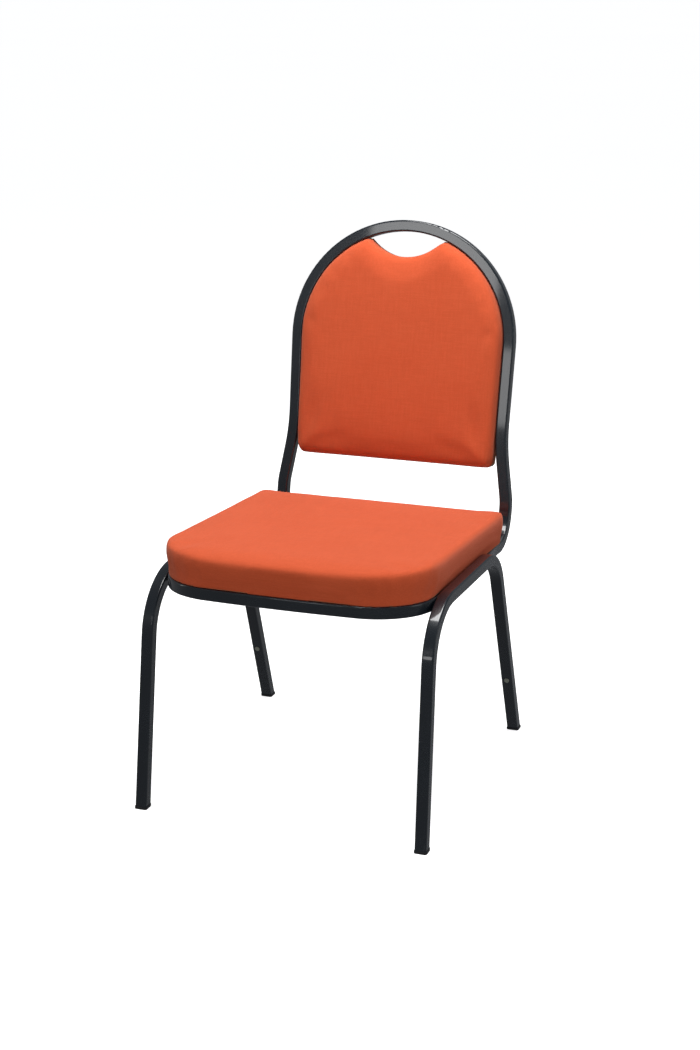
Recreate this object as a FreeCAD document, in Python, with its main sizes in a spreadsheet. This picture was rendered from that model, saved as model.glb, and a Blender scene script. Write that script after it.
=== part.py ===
"""Stacking chair: square-tube frame with an upholstered seat and a round-topped upholstered back.

Millimetres. The chair stands on Z = 0, faces -Y, and its origin is the middle of its footprint box.
Three tilted planes carry most of the shape, and every size in them is bound to the sheet of sizes:
  ring plane  slopes gently down to the rear; the seat ring lies in it and the seat is built up from it
  back plane  leans back; the round-topped hoop lies in it and the back pad is built through it
  leg planes  one each side, splayed a little; each holds a leg tube bent to an upside-down U
Both seat planes meet on one line across the chair, the back foot line.
"""

import FreeCAD, Part
import math
import os
import re
import Sketcher

os.makedirs("parts", exist_ok=True)
doc = FreeCAD.newDocument("stacking_chair")

# ---------------------------------------------------------------- driving sizes, mm and degrees
SIZES = {
    # square steel tube
    "tube_side": 20.0,
    "tube_wall": 1.2,
    "tube_corner": 3.0,
    # legs, measured on the tube's centre line
    "foot_spread": 4.7,
    "front_toe": 11.5,
    "front_rake": 46.0,
    "rear_rake": 144.5,
    "rail_front_lift": 3.03,
    "rail_rear_lift": 14.56,
    "weld_gap": 0.3,
    "weld_bead": 3.0,
    "weld_sink": 0.8,
    "weld_length": 40.0,
    "front_weld_set": 141.0,
    "rear_weld_set": 67.5,
    "leg_front_bend": 100.0,
    "leg_rear_bend": 85.0,
    # seat ring and back foot line
    "back_foot_set": 7.0,
    "back_foot_z": 353.0,
    "ring_slope": 3.0,
    "ring_half": 218.0,
    "ring_front": 539.5,
    "ring_corner": 96.0,
    "ring_bow": 2000.0,
    "corner_drop": 2.8,
    "ring_joint": 210.0,
    "jog_in": 5.0,
    "jog_set": 22.0,
    "jog_length": 68.0,
    "jog_bend": 300.0,
    # back hoop
    "lean": 9.65,
    "back_bend": 60.0,
    "straight_set": 6.59,
    "shoulder_set": 11.0,
    "shoulder_bend": 110.0,
    "waist_in": 21.2,
    "waist_rise": 172.0,
    "waist_bend": 420.0,
    "arch_in": 18.0,
    "arch_rise": 347.4,
    # feet and stacking bumpers
    "sole": 4.0,
    "sole_proud": 1.0,
    "plug_length": 22.0,
    "plug_gap": 0.2,
    "bumper_rise": 115.0,
    "bumper_head": 9.0,
    "bumper_dome": 2.5,
    "bumper_round": 2.0,
    "bumper_hole_deep": 1.8,
    "bumper_stem": 5.0,
    "bumper_length": 7.0,
    "stem_gap": 0.1,
    # cross bars under the seat
    "bar_width": 30.0,
    "bar_thick": 3.0,
    "front_bar_set": 129.5,
    "rear_bar": 188.0,
    "screw_across": 120.0,
    # seat
    "seat_inset": 2.0,
    "seat_rear_gap": 0.3,
    "seat_rear_corner": 18.0,
    "seat_bow": 8.0,
    "seat_board_thick": 12.0,
    "seat_foam_thick": 42.0,
    "seat_edge": 12.0,
    "cloth": 1.2,
    "seat_hem": 34.0,
    "hem_corner": 6.0,
    "dust_thick": 0.5,
    "dust_room": 0.1,
    "dust_gap": 6.0,
    # back
    "pad_gap": 0.4,
    "pad_bottom": 127.0,
    "pad_corner": 11.0,
    "pad_edge": 10.0,
    "notch_radius": 92.0,
    "notch_depth": 45.5,
    "back_board_rear": 5.0,
    "back_board_thick": 9.0,
    "back_foam_thick": 27.0,
    "back_hem": 15.0,
    "tab_thick": 2.0,
    "tab_length": 32.0,
    "tab_height": 20.0,
    "tab_corner": 5.0,
    "tab_low": 205.0,
    "tab_drop": 17.4,
    "tab_screw": 22.0,
    "panel_gap": 2.8,
    "panel_thick": 2.5,
    "clip_low": 180.0,
    "clip_above": 72.6,
    "clip_half": 90.0,
    "clip_head": 14.0,
    "clip_head_thick": 1.4,
    "clip_stem": 6.0,
    "clip_grip": 2.25,
    # screws and tee nuts
    "seat_screw": 6.0,
    "seat_head": 12.0,
    "seat_head_thick": 3.6,
    "socket": 3.0,
    "socket_deep": 1.8,
    "back_screw": 5.0,
    "back_head": 9.5,
    "back_head_thick": 2.5,
    "back_grip": 3.0,
    "hole_gap": 0.5,
    "tee_flange": 18.0,
    "tee_thick": 1.3,
    "tee_wall": 1.2,
}

sheet = doc.addObject("Spreadsheet::Sheet", "sizes")
for row, (alias, value) in enumerate(SIZES.items(), start=1):
    sheet.set(f"A{row}", alias)
    sheet.set(f"B{row}", str(value))
    sheet.setAlias(f"B{row}", alias)
doc.recompute()

# What follows from the sizes. Each name may stand in any expression, where it is written out.
FOLLOWS = {
    # legs: the feet stand evenly about Y = 0, round the depth of the seat ring
    "foot_reach": "(ring_front + front_toe - back_foot_set) / 2",
    "rail_half": "ring_half + tube_side + weld_gap",
    "foot_half": "rail_half + foot_spread",
    "rail_front_y": "foot_reach - front_rake",
    "rail_rear_y": "foot_reach - rear_rake",
    "rail_front_z": "back_foot_z + (back_foot_y + rail_front_y) * tan(ring_slope) + rail_front_lift",
    "rail_rear_z": "back_foot_z + (back_foot_y - rail_rear_y) * tan(ring_slope) + rail_rear_lift",
    "front_run": "front_rake / rail_front_z",
    "rear_run": "rear_rake / rail_rear_z",
    "rail_run": "(rail_front_z - rail_rear_z) / (rail_front_y + rail_rear_y)",
    "splay": "asin(foot_spread * 2 / (rail_front_z + rail_rear_z))",
    "front_weld": "rail_front_y - front_weld_set",
    "rear_weld": "rail_rear_y - rear_weld_set",
    # hoop: reach of its rear bend, widths of its sides, and their flare from the waist to the arch
    "back_foot_y": "foot_reach + back_foot_set",
    "bend_reach": "back_bend * tan((90 - lean + ring_slope) / 2)",
    "back_straight": "bend_reach + straight_set",
    "jog_end": "back_straight + jog_set",
    "jog_start": "jog_end + jog_length",
    "back_half": "ring_half - jog_in",
    "shoulder_rise": "back_straight + shoulder_set",
    "waist_half": "ring_half - waist_in",
    "arch_radius": "ring_half - arch_in",
    "flare": "asin(arch_radius / sqrt(waist_half ^ 2 + (arch_rise - waist_rise) ^ 2))"
             " - atan(waist_half / (arch_rise - waist_rise))",
    # the whole chair is shifted so that its footprint box is centred: front sole edge and back of the arch
    "front_reach": "foot_reach + tube_side / 2 + sole_proud",
    "rear_reach": "back_foot_y + (arch_rise + arch_radius + tube_side / 2 - tube_corner) * sin(lean)"
                  " + (tube_side / 2 - tube_corner) * cos(lean) + tube_corner",
    "shift": "(front_reach - rear_reach) / 2",
    # seat, in heights above the ring plane and distances forward of the back foot line
    "seat_base": "tube_side / 2",
    "board_low": "seat_base + cloth",
    "board_top": "board_low + seat_board_thick",
    "foam_top": "board_top + seat_foam_thick",
    "bar_top": "seat_base - dust_thick - dust_room",
    "bar_low": "bar_top - bar_thick",
    "front_bar": "ring_front - front_bar_set",
    "seat_rear": "bend_reach + seat_rear_gap",
    # back, in depths behind or in front of the back plane and heights up the lean
    "cover_rear": "back_board_rear + cloth",
    "tab_rear": "cover_rear + tab_thick",
    "panel_front": "tab_rear + panel_gap",
    "panel_rear": "panel_front + panel_thick",
    "pad_front": "back_board_thick - back_board_rear + back_foam_thick",
    "notch_centre": "arch_rise + arch_radius - tube_side / 2 - notch_depth + notch_radius",
    "tab_high": "arch_rise - tab_drop",
    "clip_high": "arch_rise + clip_above",
}


def bound(text):
    """The expression with what follows written out, and each size's name a reference to its cell."""
    def written_out(match):
        word = match[0]
        if word in FOLLOWS:
            return "(" + bound(FOLLOWS[word]) + ")"
        return "sizes." + word if word in SIZES else word
    return re.sub(r"[a-z_]+", written_out, str(text))


def number(text):
    """The present value of an expression, in millimetres or degrees."""
    return float(sheet.evalExpression(bound(text)))


# ---------------------------------------------------------------- bodies and sketches
def new_body(name):
    """A body that carries the common shift along Y."""
    body = doc.addObject("PartDesign::Body", name)
    body.Label = name
    body.setExpression(".Placement.Base.y", bound("shift"))
    return body


def origin_plane(body, role):
    """One of the body's own origin planes."""
    return next(item for item in body.Origin.OriginFeatures if item.Role == role)


def new_sketch(body, name, role, turn="0", x="0", y="0", z="0", axis=(1, 0, 0)):
    """A sketch on an origin plane, turned about an axis of that plane and moved along its own axes."""
    sketch = body.newObject("Sketcher::SketchObject", name)
    sketch.AttachmentSupport = [(origin_plane(body, role), "")]
    sketch.MapMode = "FlatFace"
    # A start angle that is not zero keeps the axis when the expression sets the angle.
    sketch.AttachmentOffset = FreeCAD.Placement(FreeCAD.Vector(), FreeCAD.Rotation(FreeCAD.Vector(*axis), 1))
    sketch.setExpression(".AttachmentOffset.Rotation.Angle", bound(turn))
    sketch.setExpression(".AttachmentOffset.Base.x", bound(x))
    sketch.setExpression(".AttachmentOffset.Base.y", bound(y))
    sketch.setExpression(".AttachmentOffset.Base.z", bound(z))
    return sketch


def ring_sketch(body, name, height="0"):
    """A sketch in the ring plane or at a height above it: X across, Y to the rear of the back foot line."""
    return new_sketch(body, name, "XY_Plane", "-ring_slope",
                      y=f"back_foot_y + ({height}) * sin(ring_slope)",
                      z=f"back_foot_z + ({height}) * cos(ring_slope)")


def back_sketch(body, name, depth="0"):
    """A sketch in the back plane, or a depth in front of it: X across, Y up the lean."""
    return new_sketch(body, name, "XZ_Plane", "-lean",
                      y=f"back_foot_z + ({depth}) * sin(lean)",
                      z=f"-back_foot_y + ({depth}) * cos(lean)")


def set_size(sketch, kind, *args):
    """Adds a dimension whose last argument is an expression, and binds it."""
    *where, text = args
    index = sketch.addConstraint(Sketcher.Constraint(kind, *where, number(text)))
    sketch.setExpression(f"Constraints[{index}]", bound(text))


def fix_point(sketch, item, vertex, x, y):
    """Holds a vertex at two expressions; a zero puts it on the axis."""
    for kind, text, axis in (("DistanceX", x, -2), ("DistanceY", y, -1)):
        if text == "0":
            sketch.addConstraint(Sketcher.Constraint("PointOnObject", item, vertex, axis))
        else:
            set_size(sketch, kind, item, vertex, text)


def vec(x, y):
    """A point of a sketch."""
    return FreeCAD.Vector(x, y, 0)


def circle(sketch, x, y, radius):
    """A circle at two expressions."""
    item = sketch.addGeometry(Part.Circle(vec(number(x), number(y)), FreeCAD.Vector(0, 0, 1), number(radius)))
    fix_point(sketch, item, 3, x, y)
    set_size(sketch, "Radius", item, radius)


def short_arc(centre, start, end):
    """The shorter arc between two points, and its first and last vertex in the order of travel."""
    one, two = start - centre, end - centre
    first, last = math.atan2(one.y, one.x), math.atan2(two.y, two.x)
    travels_left = one.x * two.y - one.y * two.x > 0
    low, high = (first, last) if travels_left else (last, first)
    if high <= low:
        high += 2 * math.pi
    whole = Part.Circle(centre, FreeCAD.Vector(0, 0, 1), one.Length)
    return Part.ArcOfCircle(whole, low, high), ((1, 2) if travels_left else (2, 1))


def fillet_points(before, corner, after, radius):
    """Centre, start and end of the arc that rounds a corner."""
    one = (before - corner).normalize()
    two = (after - corner).normalize()
    half = math.acos(max(-1.0, min(1.0, one.dot(two)))) / 2
    centre = corner + (one + two).normalize() * (radius / math.sin(half))
    reach = radius / math.tan(half)
    return centre, corner + one * reach, corner + two * reach


class Route:
    """Tangent lines and arcs in a sketch, through corners that are bound to the sheet."""

    def __init__(self, sketch, corners, radii, closed=False, last_arc=None):
        """Draws the route.

        corners are pairs of expressions, radii the rounding of each inner corner (of each corner when the
        route is closed), and last_arc is the centre height and the radius of an arc centred on the Y axis
        that the last line runs into, and 1 or -1 for an arc that ends the route above or below its centre.
        """
        self.sketch = sketch
        points = [vec(number(x), number(y)) for x, y in corners]
        if last_arc:
            points.append(self.touch_point(points[-1], *last_arc))
        marks = [self.mark(*corner) for corner in corners]
        count = len(points)
        inner = range(count) if closed else range(1, count - 1)
        arcs = {}
        for index, radius in zip(inner, radii):
            if radius != "0":
                before, corner, after = points[index - 1], points[index], points[(index + 1) % count]
                arcs[index] = (radius, fillet_points(before, corner, after, number(radius)))
        lines = []
        for index in range(count if closed else count - 1):
            following = (index + 1) % count
            start = arcs[index][1][2] if index in arcs else points[index]
            end = arcs[following][1][1] if following in arcs else points[following]
            line = sketch.addGeometry(Part.LineSegment(start, end))
            for vertex, place in ((1, index), (2, following)):
                if place in arcs:
                    sketch.addConstraint(Sketcher.Constraint("PointOnObject", marks[place], 1, line))
                elif place < len(marks):
                    sketch.addConstraint(Sketcher.Constraint("Coincident", line, vertex, marks[place], 1))
            lines.append(line)
        for index, (radius, places) in arcs.items():
            curve, (first, last) = short_arc(*places)
            arc = sketch.addGeometry(curve)
            sketch.addConstraint(Sketcher.Constraint("Tangent", lines[index - 1], 2, arc, first))
            sketch.addConstraint(Sketcher.Constraint("Tangent", lines[index], 1, arc, last))
            set_size(sketch, "Radius", arc, radius)
        self.start = (lines[0], 1)
        if last_arc:
            self.end = self.end_arc(points[-1], lines[-1], *last_arc)

    def mark(self, x, y):
        """A construction point at two expressions."""
        point = self.sketch.addGeometry(Part.Point(vec(number(x), number(y))), True)
        fix_point(self.sketch, point, 1, x, y)
        return point

    @staticmethod
    def touch_point(corner, centre_y, radius, side):
        """Where a line from the corner touches the last arc, on the corner's side of the Y axis."""
        centre = vec(0, number(centre_y))
        reach = corner - centre
        swing = math.acos(number(radius) / reach.Length)
        angle = math.atan2(reach.y, reach.x) + side * swing
        return centre + vec(math.cos(angle), math.sin(angle)) * number(radius)

    def end_arc(self, touch, line, centre_y, radius, side):
        """The last arc, from the touch point to the Y axis."""
        centre = vec(0, number(centre_y))
        curve, (first, last) = short_arc(centre, touch, centre + vec(0, side * number(radius)))
        arc = self.sketch.addGeometry(curve)
        self.sketch.addConstraint(Sketcher.Constraint("Tangent", line, 2, arc, first))
        fix_point(self.sketch, arc, 3, "0", centre_y)
        self.sketch.addConstraint(Sketcher.Constraint("PointOnObject", arc, last, -2))
        set_size(self.sketch, "Radius", arc, radius)
        return arc, last

    def close_on_axis(self):
        """Joins the two ends of a half outline by a line along the Y axis."""
        ends = [self.sketch.getPoint(*self.end), self.sketch.getPoint(*self.start)]
        line = self.sketch.addGeometry(Part.LineSegment(*ends))
        self.sketch.addConstraint(Sketcher.Constraint("Coincident", line, 1, *self.end))
        self.sketch.addConstraint(Sketcher.Constraint("Coincident", line, 2, *self.start))


def rounded_square(sketch, side, corner, depth=None):
    """A square with rounded corners about the sketch's origin; depth is its size along Y if it differs."""
    half, tall = f"({side}) / 2", f"({depth or side}) / 2"
    corners = [(half, f"-{tall}"), (half, tall), (f"-{half}", tall), (f"-{half}", f"-{tall}")]
    Route(sketch, corners, [corner] * 4, closed=True)


def tube_section(sketch):
    """The hollow section of the square tube."""
    rounded_square(sketch, "tube_side", "tube_corner")
    rounded_square(sketch, "tube_side - 2 * tube_wall", "tube_corner - tube_wall")


def sweep(body, name, profile, path):
    """Carries a profile along a path."""
    pipe = body.newObject("PartDesign::AdditivePipe", name)
    pipe.Profile = profile
    pipe.Spine = path
    doc.recompute()
    return pipe


def pad(body, name, sketch, length):
    """Extrudes a sketch along its normal."""
    feature = body.newObject("PartDesign::Pad", name)
    feature.Profile = sketch
    feature.setExpression("Length", bound(length))
    doc.recompute()
    return feature


def pocket_both_ways(body, name, sketch, length):
    """Cuts a sketch's outline out of the body, evenly to both sides of the sketch."""
    feature = body.newObject("PartDesign::Pocket", name)
    feature.Profile = sketch
    feature.Midplane = True
    feature.setExpression("Length", bound(length))
    doc.recompute()
    return feature


def mirror_across(body, features):
    """Repeats features on the chair's other side."""
    mirror = body.newObject("PartDesign::Mirrored", body.Name + "_mirror")
    mirror.Originals = features
    mirror.MirrorPlane = (origin_plane(body, "YZ_Plane"), [""])
    body.Tip = mirror
    doc.recompute()
    return mirror


# ---------------------------------------------------------------- hoop and seat ring
def build_back_hoop():
    """Round-topped tube of the back, bent forward at its feet into the sides of the seat ring."""
    body = new_body("back_hoop_tube")
    section = new_sketch(body, "hoop_section", "XY_Plane", "-lean", x="back_half",
                         y="back_foot_y + back_straight * sin(lean)",
                         z="back_foot_z + back_straight * cos(lean)")
    tube_section(section)
    upright = back_sketch(body, "hoop_upright_path")
    Route(upright,
          [("back_half", "back_straight"), ("back_half", "shoulder_rise"), ("waist_half", "waist_rise")],
          ["shoulder_bend", "waist_bend"],
          last_arc=("arch_rise", "arch_radius", 1))
    bend = new_sketch(body, "hoop_bend_path", "YZ_Plane", z="back_half")
    Route(bend,
          [("back_foot_y + back_straight * sin(lean)", "back_foot_z + back_straight * cos(lean)"),
           ("back_foot_y", "back_foot_z"),
           ("back_foot_y - back_straight * cos(ring_slope)", "back_foot_z + back_straight * sin(ring_slope)")],
          ["back_bend"])
    side_section = new_sketch(body, "hoop_side_section", "XZ_Plane", "-ring_slope", x="back_half",
                              y="back_foot_z + back_straight * sin(ring_slope)",
                              z="-back_foot_y + back_straight * cos(ring_slope)")
    tube_section(side_section)
    side = ring_sketch(body, "hoop_side_path")
    Route(side,
          [("back_half", "-back_straight"), ("back_half", "-jog_end"),
           ("ring_half", "-jog_start"), ("ring_half", "-ring_joint")],
          ["jog_bend", "jog_bend"])
    doc.recompute()
    pipes = [sweep(body, "hoop_upright", section, upright),
             sweep(body, "hoop_bend", section, bend),
             sweep(body, "hoop_side", side_section, side)]
    mirror_across(body, pipes)
    return body


def build_seat_ring():
    """Front of the seat ring: a gently bowed front with large corners, butt-welded to the hoop's sides."""
    body = new_body("seat_ring_tube")
    section = new_sketch(body, "ring_section", "XZ_Plane", "-ring_slope", x="ring_half",
                         y="back_foot_z + ring_joint * sin(ring_slope)",
                         z="-back_foot_y + ring_joint * cos(ring_slope)")
    tube_section(section)
    path = ring_sketch(body, "ring_path")
    corner_back = "ring_half ^ 2 / (2 * ring_bow) - corner_drop"
    Route(path,
          [("ring_half", "-ring_joint"), ("ring_half", f"-ring_front + {corner_back}")],
          ["ring_corner"],
          last_arc=("ring_bow - ring_front", "ring_bow", -1))
    doc.recompute()
    mirror_across(body, [sweep(body, "ring_half", section, path)])
    return body


# ---------------------------------------------------------------- legs, glides and stacking bumpers
SIDES = {"left": 1, "right": -1}


def new_leg_body(name, side):
    """A body in the frame of one leg plane: zero between the feet, Z up the splayed plane."""
    body = new_body(name)
    body.Placement = FreeCAD.Placement(FreeCAD.Vector(), FreeCAD.Rotation(FreeCAD.Vector(0, 1, 0), 1))
    body.setExpression(".Placement.Base.y", bound("shift"))
    body.setExpression(".Placement.Base.x", bound(f"{side} * foot_half"))
    body.setExpression(".Placement.Rotation.Angle", bound(f"{-side} * splay"))
    return body


def build_leg(name, side):
    """One tube bent to an upside-down U: front leg, side rail and rear leg, cut level above the soles."""
    body = new_leg_body(name, side)
    section = new_sketch(body, name + "_section", "XY_Plane", "-atan(front_run)",
                         y="-foot_reach - front_run * tube_side / 2", z="-tube_side / 2")
    tube_section(section)
    path = new_sketch(body, name + "_path", "YZ_Plane")
    Route(path,
          [("-foot_reach - front_run * tube_side / 2", "-tube_side / 2"),
           ("-rail_front_y", "rail_front_z"),
           ("rail_rear_y", "rail_rear_z"),
           ("foot_reach + rear_run * tube_side / 2", "-tube_side / 2")],
          ["leg_front_bend", "leg_rear_bend"])
    doc.recompute()
    sweep(body, name + "_tube", section, path)
    below = new_sketch(body, name + "_below", "YZ_Plane")
    reach = "(foot_reach + 2 * tube_side)"
    Route(below,
          [(f"-{reach}", "-2 * tube_side"), (reach, "-2 * tube_side"), (reach, "sole"), (f"-{reach}", "sole")],
          ["0", "0", "0", "0"], closed=True)
    pocket_both_ways(body, name + "_level_ends", below, "4 * tube_side")
    hole = bumper_sketch(body, name + "_bumper_hole_outline")
    circle(hole, "0", "0", "bumper_stem / 2 + stem_gap")
    drill(body, name + "_bumper_hole", hole, "bumper_hole_deep")
    return body


def bumper_sketch(body, name, height="0"):
    """A sketch on the front face of the rear leg, or a height out from it, centred on the bumper."""
    rake = "atan(rear_run)"
    out = f"(tube_side / 2 + {height})"
    return new_sketch(body, name, "XZ_Plane", rake,
                      y=f"bumper_rise - {out} * sin({rake})",
                      z=f"-foot_reach + rear_run * bumper_rise + {out} * cos({rake})")


def drill(body, name, sketch, depth):
    """Cuts a sketch's outline into the body, against the sketch's normal."""
    feature = body.newObject("PartDesign::Pocket", name)
    feature.Profile = sketch
    feature.setExpression("Length", bound(depth))
    doc.recompute()
    return feature


def rim_edges(shape, axis):
    """Names of the edges round the flat face that lies farthest along an axis."""
    faces = [face for face in shape.Faces
             if isinstance(face.Surface, Part.Plane) and abs(face.normalAt(0, 0).dot(axis)) > 0.999]
    top = max(faces, key=lambda face: face.CenterOfMass.dot(axis))
    return [f"Edge{index}" for index, edge in enumerate(shape.Edges, start=1)
            if any(edge.isSame(other) for other in top.Edges)]


def round_rim(body, name, base, axis, radius):
    """Rounds the edges of the face that lies farthest along an axis."""
    feature = body.newObject("PartDesign::Fillet", name)
    feature.Base = (base, rim_edges(base.Shape, axis))
    feature.setExpression("Radius", bound(radius))
    doc.recompute()
    return feature


def build_bumper(name, side):
    """Small domed button on the front face of the rear leg, its stem pressed through the tube's wall."""
    body = new_leg_body(name, side)
    head = bumper_sketch(body, name + "_head_outline")
    circle(head, "0", "0", "bumper_head / 2")
    button = pad(body, name + "_head", head, "bumper_dome")
    rake = math.radians(number("atan(rear_run)"))
    round_rim(body, name + "_dome", button, FreeCAD.Vector(0, -math.cos(rake), -math.sin(rake)),
              "bumper_round")
    stem = bumper_sketch(body, name + "_stem_outline")
    circle(stem, "0", "0", "bumper_stem / 2")
    shank = pad(body, name + "_stem", stem, "bumper_length")
    shank.Reversed = True
    doc.recompute()
    return body


def build_glide(name, side, end):
    """Plastic glide: a level sole under the cut end of the leg and a plug inside the tube."""
    run = "front_run" if end < 0 else "rear_run"
    rake = f"atan({run})"
    body = new_leg_body(name + "_blank", side)
    tread = "(-tube_wall)"
    for step, (low, length, across) in {
        "sole": (tread, f"sole - {tread}", "tube_side + 2 * sole_proud"),
        "plug": ("sole", "plug_length", "tube_side - 2 * tube_wall - 2 * plug_gap"),
    }.items():
        outline = new_sketch(body, f"{name}_{step}_outline", "XY_Plane",
                             y=f"{end} * (foot_reach - {run} * {low})", z=low)
        corner = "tube_corner + sole_proud" if step == "sole" else "tube_corner - tube_wall"
        rounded_square(outline, across, corner, depth=f"({across}) / cos({rake})")
        feature = pad(body, f"{name}_{step}", outline, length)
        feature.UseCustomVector = True
        feature.Direction = FreeCAD.Vector(0, 0, 1)
        feature.setExpression("Direction.y", bound(f"{-end} * {run}"))
        feature.AlongSketchNormal = True
        doc.recompute()
    glide = doc.addObject("Part::Cut", name)
    glide.Label = name
    glide.Base = body
    glide.Tool = floor
    return glide


floor = doc.addObject("Part::Box", "below_floor")
for side_name, text in {"Length": "4 * foot_half", "Width": "4 * foot_reach", "Height": "tube_side"}.items():
    floor.setExpression(side_name, bound(text))
floor.setExpression(".Placement.Base.x", bound("-2 * foot_half"))
floor.setExpression(".Placement.Base.y", bound("-2 * foot_reach"))
floor.setExpression(".Placement.Base.z", bound("-tube_side"))


# ---------------------------------------------------------------- seat
SEAT_SCREWS = [(f"{across} * screw_across", f"-{along}")
               for across in (-1, 1) for along in ("front_bar", "rear_bar")]


def seat_outline(sketch, inset, rear, rear_corner):
    """Plan of the seat, an inset inside the seat ring's outer face."""
    half = f"(ring_half + tube_side / 2 - {inset})"
    corner = f"(ring_corner + tube_side / 2 - {inset})"
    rise = f"(0.4 * ({half} - {corner}) * seat_bow / {half})"
    tip = f"(ring_front + tube_side / 2 - {inset} + {rise})"
    bow = f"0.8 * ({half} - {corner}) * {half} / seat_bow"
    Route(sketch,
          [(half, f"-({rear})"), (half, f"-({tip} - seat_bow)"), ("0", f"-{tip}"),
           (f"-{half}", f"-({tip} - seat_bow)"), (f"-{half}", f"-({rear})")],
          [rear_corner, corner, bow, corner, rear_corner], closed=True)


def seat_layer(name, low, thick, inset, rear_corner=None, edge=None):
    """A body with the seat's plan, from a height above the ring plane, its upper edge rounded."""
    body = new_body(name)
    outline = ring_sketch(body, name + "_outline", low)
    shrink = f"({inset} - seat_inset)"
    seat_outline(outline, inset, f"seat_rear + {shrink}", rear_corner or f"(seat_rear_corner - {shrink})")
    block = pad(body, name + "_block", outline, thick)
    if edge:
        slope = math.radians(number("ring_slope"))
        round_rim(body, name + "_edge", block, FreeCAD.Vector(0, math.sin(slope), math.cos(slope)), edge)
    return body


def ring_drill(body, name, low_top, places, radius, depth):
    """Round holes cut down from a height above the ring plane."""
    outline = ring_sketch(body, name + "_outline", low_top)
    for place in places:
        circle(outline, *place, radius)
    drill(body, name, outline, depth)


def group_body(name):
    """A body that holds several equal solids."""
    body = new_body(name)
    body.AllowCompound = True
    return body


def ring_discs(body, name, low, places, radius, thick, bore=None):
    """Equal discs or rings standing on a height above the ring plane."""
    outline = ring_sketch(body, name + "_outline", low)
    for place in places:
        circle(outline, *place, radius)
        if bore:
            circle(outline, *place, bore)
    pad(body, name, outline, thick)


def cut(name, base, tools):
    """A named cut of one object by several."""
    tool = tools[0]
    if len(tools) > 1:
        tool = doc.addObject("Part::MultiFuse", name + "_tool")
        tool.Shapes = tools
    result = doc.addObject("Part::Cut", name)
    result.Label = name
    result.Base = base
    result.Tool = tool
    return result


def build_cross_bar(name, along):
    """Flat bar welded across the inside of the seat ring, with two screw holes."""
    body = new_body(name)
    outline = ring_sketch(body, name + "_outline", "bar_low")
    end = "(ring_half - tube_side / 2)"
    near, far = f"-({along} - bar_width / 2)", f"-({along} + bar_width / 2)"
    Route(outline, [(end, near), (f"-{end}", near), (f"-{end}", far), (end, far)], ["0"] * 4, closed=True)
    for across in (-1, 1):
        circle(outline, f"{across} * screw_across", f"-{along}", "seat_screw / 2 + hole_gap")
    pad(body, name + "_bar", outline, "bar_thick")
    return body


def build_seat():
    """Seat board, foam, cover, dust cover, screws and tee nuts."""
    edge_inset = "(seat_inset + cloth)"
    board = seat_layer("seat_board", "board_low", "seat_board_thick", edge_inset)
    barrel = "(seat_screw / 2 + stem_gap + tee_wall)"
    ring_drill(board, "tee_nut_bores", "board_top", SEAT_SCREWS, f"{barrel} + stem_gap", "seat_board_thick")
    ring_drill(board, "tee_nut_seats", "board_top", SEAT_SCREWS, "tee_flange / 2 + hole_gap", "tee_thick")
    foam = seat_layer("seat_foam", "board_top", "seat_foam_thick", edge_inset, edge="seat_edge - cloth")
    skin = seat_layer("seat_cover_blank", "seat_base", "foam_top + cloth - seat_base", "seat_inset",
                      edge="seat_edge")
    filling = seat_layer("seat_filling", "board_low", "seat_board_thick", edge_inset)
    mouth = seat_layer("seat_hem_mouth", "(seat_base - cloth)", "3 * cloth", "(seat_inset + seat_hem)",
                       rear_corner="hem_corner")
    cover = cut("seat_cover", skin, [filling, foam, mouth])

    dust = new_body("seat_dust_cover")
    outline = ring_sketch(dust, "dust_outline", "(seat_base - dust_thick)")
    seat_outline(outline, "(tube_side + dust_gap)", "seat_rear + dust_gap", "hem_corner")
    for place in SEAT_SCREWS:
        circle(outline, *place, "seat_screw / 2 + hole_gap")
    pad(dust, "dust_sheet", outline, "dust_thick")

    screws = group_body("seat_screws")
    ring_discs(screws, "seat_screw_heads", "bar_low - seat_head_thick", SEAT_SCREWS, "seat_head / 2",
               "seat_head_thick")
    ring_discs(screws, "seat_screw_shanks", "bar_low", SEAT_SCREWS, "seat_screw / 2",
               "board_top - tee_thick - bar_low")
    ring_drill(screws, "seat_screw_sockets", "bar_low - seat_head_thick + socket_deep", SEAT_SCREWS,
               "socket / 2", "2 * socket_deep")

    nuts = group_body("seat_tee_nuts")
    ring_discs(nuts, "tee_nut_flanges", "(board_top - tee_thick)", SEAT_SCREWS, "tee_flange / 2", "tee_thick",
               bore="seat_screw / 2 + stem_gap")
    ring_discs(nuts, "tee_nut_barrels", "(board_low + tee_wall)", SEAT_SCREWS, barrel,
               "seat_board_thick - tee_wall - tee_thick", bore="seat_screw / 2 + stem_gap")
    return [board, foam, cover, dust, screws, nuts]


# ---------------------------------------------------------------- back
CLIPS = [(f"{across} * clip_half", height) for across in (-1, 1) for height in ("clip_low", "clip_high")]


def inner_side(height, inset="0"):
    """Half the gap between the hoop's sides, less an inset, at a height up the lean."""
    return f"(waist_half + ({height} - waist_rise) * tan(flare) - (tube_side / 2 + {inset}) / cos(flare))"


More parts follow.
